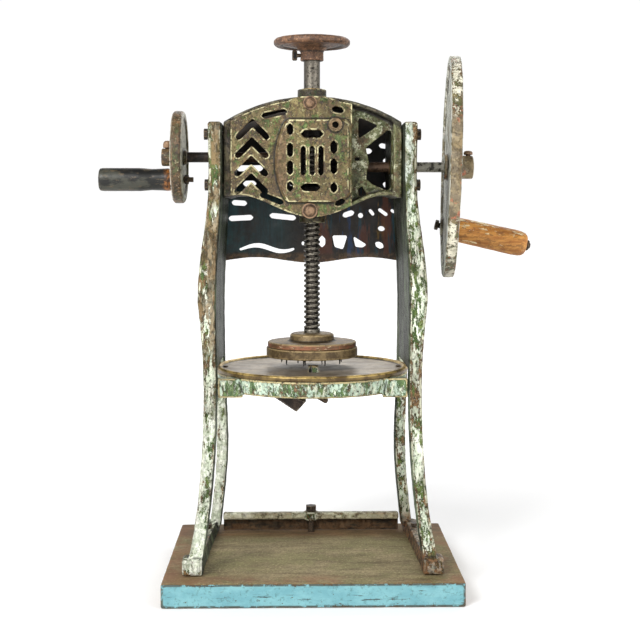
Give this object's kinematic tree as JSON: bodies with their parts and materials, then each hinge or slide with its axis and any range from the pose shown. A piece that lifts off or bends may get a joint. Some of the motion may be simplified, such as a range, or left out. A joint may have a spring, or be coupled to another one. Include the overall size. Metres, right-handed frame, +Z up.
{
  "type": "hand-cranked ice shaver",
  "caption": "Cast stand on a wooden board with a flywheel-driven screw spindle that turns and presses ice on a bladed plate, fed down by a side crank.",
  "frame": {"origin": "centre of the wooden board's underside", "axes": "+Z up along the spindle's axis, +X to the flywheel's side, -Y to the front"},
  "size_m": [0.6898, 0.3426, 0.8305],
  "materials": {
    "board_wood": "weathered brown wood with a worn turquoise front edge",
    "frame_paint": "cast iron under chipped pale green and mid green paint",
    "housing_paint": "cast iron with worn olive brown paint",
    "back_plate_paint": "cast iron, near black with rust and teal streaks",
    "tray_paint": "cast iron under chipped green paint",
    "ice_plate_bronze": "dull bronze with a worn rim",
    "blade_steel": "dark tool steel",
    "spindle_steel": "greasy dark steel",
    "handwheel_rust": "rusted cast iron",
    "pressure_bronze": "aged bronze with a worn painted edge",
    "crank_paint": "cast iron with rust and remains of pale paint",
    "flywheel_paint": "cast iron with chipped cream paint over green and orange",
    "black_grip": "black satin lacquered wood",
    "grip_wood": "worn orange wood",
    "shaft_steel": "brown oiled steel",
    "fastener_steel": "dark rusted steel",
    "gear_iron": "oiled cast iron",
    "bush_bronze": "bearing bronze"
  },
  "bodies": {
    "stand": {"base_board": "board_wood", "left_side_frame": "frame_paint", "right_side_frame": "frame_paint", "rear_cross_bar": "frame_paint", "cross_bar_bolt": "fastener_steel", "gear_housing": "housing_paint", "front_cover": "housing_paint", "back_plate": "back_plate_paint", "tray_ring": "tray_paint", "ice_plate": "ice_plate_bronze", "blade": "blade_steel", "blade_holder": "blade_steel", "lower_spindle_bush": "bush_bronze", "upper_spindle_bush": "bush_bronze", "feed_shaft_bush": "bush_bronze", "flywheel_shaft_bush": "bush_bronze", "foot_screw_left_front": "fastener_steel", "foot_screw_left_rear": "fastener_steel", "foot_screw_right_front": "fastener_steel", "foot_screw_right_rear": "fastener_steel", "housing_bolt_left_front_upper": "fastener_steel", "housing_bolt_left_front_lower": "fastener_steel", "housing_bolt_left_rear": "fastener_steel", "housing_bolt_right_front_upper": "fastener_steel", "housing_bolt_right_front_lower": "fastener_steel", "housing_bolt_right_rear": "fastener_steel", "tray_bolt_left_front": "fastener_steel", "tray_bolt_left_rear": "fastener_steel", "tray_bolt_right_front": "fastener_steel", "tray_bolt_right_rear": "fastener_steel", "cover_bolt_upper": "fastener_steel", "cover_bolt_lower": "fastener_steel", "back_plate_bolt_left": "fastener_steel", "back_plate_bolt_right": "fastener_steel", "ice_plate_screw_left": "fastener_steel", "ice_plate_screw_right": "fastener_steel", "blade_clamp_screw": "fastener_steel"},
    "flywheel": {"flywheel": "flywheel_paint", "flywheel_shaft": "shaft_steel", "drive_pinion": "gear_iron", "flywheel_set_screw": "fastener_steel", "wooden_grip_bolt": "fastener_steel", "wooden_grip_end_nut": "fastener_steel"},
    "wooden_grip": {"wooden_grip": "grip_wood"},
    "drive_gear": {"drive_gear": "gear_iron"},
    "spindle": {"spindle": "spindle_steel", "upper_pressure_plate": "pressure_bronze", "spiked_pressure_plate": "pressure_bronze", "handwheel": "handwheel_rust", "handwheel_thumb_screw": "fastener_steel"},
    "feed_crank": {"crank_disc": "crank_paint", "feed_shaft": "shaft_steel", "feed_pinion": "gear_iron", "crank_set_screw": "fastener_steel", "black_grip_bolt": "fastener_steel", "black_grip_nut": "fastener_steel"},
    "black_grip": {"black_grip": "black_grip"},
    "feed_nut": {"feed_nut_gear": "gear_iron"}
  },
  "joints": [
    {"name": "flywheel_spin", "type": "hinge", "parent": "stand", "child": "flywheel", "pos_m": [0, 0, 0.6315], "axis": [1, 0, 0], "continuous": true},
    {"name": "spindle_turn", "type": "hinge", "parent": "stand", "child": "drive_gear", "pos_m": [0, 0, 0.6315], "axis": [0, 0, 1], "continuous": true},
    {"name": "feed_crank_turn", "type": "hinge", "parent": "stand", "child": "feed_crank", "pos_m": [0, 0, 0.6465], "axis": [-1, 0, 0], "range_deg": [0, 11060]},
    {"name": "feed_nut_turn", "type": "hinge", "parent": "stand", "child": "feed_nut", "pos_m": [0, 0, 0.6465], "axis": [0, 0, 1], "range_deg": [-7380, 0]},
    {"name": "spindle_feed", "type": "slide", "parent": "drive_gear", "child": "spindle", "axis": [0, 0, 1], "range_m": [0, 0.164]},
    {"name": "wooden_grip_spin", "type": "hinge", "parent": "flywheel", "child": "wooden_grip", "pos_m": [0.235, 0.112, 0.5345], "axis": [0.9737, -0.06, -0.2199], "continuous": true},
    {"name": "black_grip_spin", "type": "hinge", "parent": "feed_crank", "child": "black_grip", "pos_m": [-0.213, 0.012, 0.6125], "axis": [-1, 0, 0], "continuous": true}
  ],
  "couplings": [
    {"joint": "spindle_turn", "follows": "flywheel_spin", "ratio": 0.66667},
    {"joint": "feed_nut_turn", "follows": "feed_crank_turn", "ratio": -0.66667},
    {"joint": "spindle_feed", "follows": "feed_crank_turn", "m_per_rad": 0.00084883}
  ]
}
